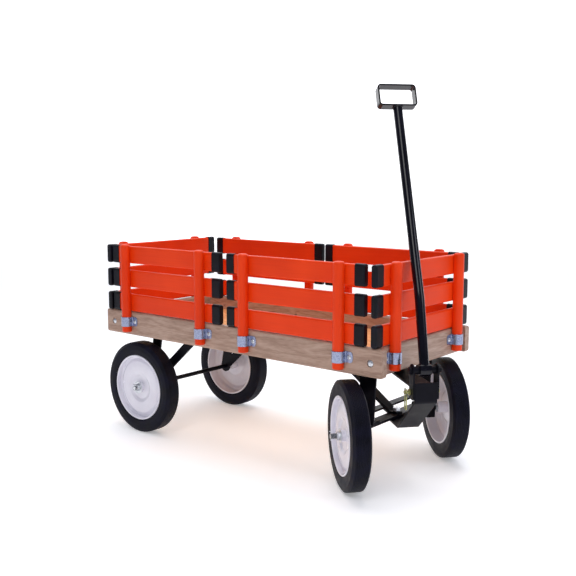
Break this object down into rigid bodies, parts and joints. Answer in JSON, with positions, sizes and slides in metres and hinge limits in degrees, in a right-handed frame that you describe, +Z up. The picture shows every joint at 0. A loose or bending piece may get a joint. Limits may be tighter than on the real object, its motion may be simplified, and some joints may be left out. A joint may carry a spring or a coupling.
{
  "type": "kids pull wagon",
  "caption": "Wooden-bed pull wagon with lift-off stake racks, solid-tyred disc wheels, steered front wheels and a tilting pull handle.",
  "frame": {"origin": "middle of the cargo floor's top face; the ground is 0.299 m below", "axes": "+X along the bed towards the handle, +Y to the wagon's left, +Z up"},
  "size_m": [1.0338, 0.5388, 0.928],
  "materials": {
    "varnished_wood": "clear varnished hardwood, satin",
    "orange_paint": "wood painted orange, satin gloss",
    "cap_plastic": "black moulded end caps",
    "galvanised_steel": "galvanised pressed strap",
    "zinc_fasteners": "bright zinc plated",
    "black_steel": "black powder coat",
    "black_handle_paint": "gloss black enamel",
    "yellow_zinc": "yellow zinc plated",
    "rim_paint": "white enamel disc",
    "tyre_rubber": "solid black rubber, fine rib tread",
    "bush_nylon": "natural nylon sleeve"
  },
  "bodies": {
    "bed": {"floor_panel": "varnished_wood", "right_rail": "varnished_wood", "left_rail": "varnished_wood", "front_rail": "varnished_wood", "rear_rail": "varnished_wood", "rail_bolts": "zinc_fasteners", "post_straps": "galvanised_steel", "strap_screws": "galvanised_steel", "rear_axle": "black_steel", "rear_axle_hardware": "zinc_fasteners", "rear_bracket_right": "black_steel", "rear_bracket_left": "black_steel", "front_beam": "black_steel", "front_post_right": "black_steel", "front_post_left": "black_steel", "centre_brace": "black_steel", "pivot_plate": "black_steel", "undercarriage_bolts": "zinc_fasteners", "kingpins": "zinc_fasteners"},
    "steering_yoke": {"steering_yoke": "black_steel", "yoke_ears": "black_steel", "tongue_pivot_bolt": "black_steel", "hitch_pin": "yellow_zinc"},
    "tie_rod": {"tie_rod": "black_steel"},
    "spindle_right": {"spindle_right": "black_steel", "spindle_hardware_right": "zinc_fasteners"},
    "spindle_left": {"spindle_left": "black_steel", "spindle_hardware_left": "zinc_fasteners"},
    "handle": {"handle_tube": "black_handle_paint", "hand_grip": "black_handle_paint"},
    "right_front_rack": {"right_front_rack_slats": "orange_paint", "right_front_rack_posts": "orange_paint", "right_front_rack_caps": "cap_plastic"},
    "right_rear_rack": {"right_rear_rack_slats": "orange_paint", "right_rear_rack_posts": "orange_paint", "right_rear_rack_caps": "cap_plastic"},
    "left_front_rack": {"left_front_rack_slats": "orange_paint", "left_front_rack_posts": "orange_paint", "left_front_rack_caps": "cap_plastic"},
    "left_rear_rack": {"left_rear_rack_slats": "orange_paint", "left_rear_rack_posts": "orange_paint", "left_rear_rack_caps": "cap_plastic"},
    "front_rack": {"front_rack_slats": "orange_paint", "front_rack_posts": "orange_paint", "front_rack_caps": "cap_plastic"},
    "rear_rack": {"rear_rack_slats": "orange_paint", "rear_rack_posts": "orange_paint", "rear_rack_caps": "cap_plastic"},
    "rear_right_wheel": {"rear_right_tyre": "tyre_rubber", "rear_right_rim": "rim_paint", "rear_right_bush": "bush_nylon"},
    "rear_left_wheel": {"rear_left_tyre": "tyre_rubber", "rear_left_rim": "rim_paint", "rear_left_bush": "bush_nylon"},
    "front_right_wheel": {"front_right_tyre": "tyre_rubber", "front_right_rim": "rim_paint", "front_right_bush": "bush_nylon"},
    "front_left_wheel": {"front_left_tyre": "tyre_rubber", "front_left_rim": "rim_paint", "front_left_bush": "bush_nylon"}
  },
  "joints": [
    {"name": "steer", "type": "hinge", "parent": "bed", "child": "steering_yoke", "pos_m": [0.381, 0, -0.109], "axis": [0, 0, 1], "range_deg": [-2, 82]},
    {"name": "right_spindle_steer", "type": "hinge", "parent": "bed", "child": "spindle_right", "pos_m": [0.381, -0.146, -0.172], "axis": [0, 0, 1], "range_deg": [-2, 82]},
    {"name": "left_spindle_steer", "type": "hinge", "parent": "bed", "child": "spindle_left", "pos_m": [0.381, 0.146, -0.172], "axis": [0, 0, 1], "range_deg": [-2, 82]},
    {"name": "tie_rod_swing", "type": "hinge", "parent": "spindle_right", "child": "tie_rod", "pos_m": [0.31818, -0.09329, -0.162], "axis": [0, 0, 1], "range_deg": [-82, 2]},
    {"name": "handle_tilt", "type": "hinge", "parent": "steering_yoke", "child": "handle", "pos_m": [0.52731, -0.12277, -0.009], "axis": [0.6428, 0.766, 0], "range_deg": [0, 130]},
    {"name": "rear_right_wheel_roll", "type": "hinge", "parent": "bed", "child": "rear_right_wheel", "pos_m": [-0.337, -0.1835, -0.172], "axis": [0, 1, 0], "continuous": true},
    {"name": "rear_left_wheel_roll", "type": "hinge", "parent": "bed", "child": "rear_left_wheel", "pos_m": [-0.337, 0.1835, -0.172], "axis": [0, 1, 0], "continuous": true},
    {"name": "front_right_wheel_roll", "type": "hinge", "parent": "spindle_right", "child": "front_right_wheel", "pos_m": [0.37266, -0.18861, -0.172], "axis": [0.6428, 0.766, 0], "continuous": true},
    {"name": "front_left_wheel_roll", "type": "hinge", "parent": "spindle_left", "child": "front_left_wheel", "pos_m": [0.42151, 0.16161, -0.172], "axis": [0.6428, 0.766, 0], "continuous": true},
    {"name": "right_front_rack_lift", "type": "slide", "parent": "bed", "child": "right_front_rack", "axis": [0, 0, 1], "range_m": [0, 0.12]},
    {"name": "right_rear_rack_lift", "type": "slide", "parent": "bed", "child": "right_rear_rack", "axis": [0, 0, 1], "range_m": [0, 0.12]},
    {"name": "left_front_rack_lift", "type": "slide", "parent": "bed", "child": "left_front_rack", "axis": [0, 0, 1], "range_m": [0, 0.12]},
    {"name": "left_rear_rack_lift", "type": "slide", "parent": "bed", "child": "left_rear_rack", "axis": [0, 0, 1], "range_m": [0, 0.12]},
    {"name": "front_rack_lift", "type": "slide", "parent": "bed", "child": "front_rack", "axis": [0, 0, 1], "range_m": [0, 0.015]},
    {"name": "rear_rack_lift", "type": "slide", "parent": "bed", "child": "rear_rack", "axis": [0, 0, 1], "range_m": [0, 0.12]}
  ],
  "couplings": [
    {"joint": "right_spindle_steer", "follows": "steer", "ratio": 1},
    {"joint": "left_spindle_steer", "follows": "steer", "ratio": 1},
    {"joint": "tie_rod_swing", "follows": "steer", "ratio": -1}
  ]
}
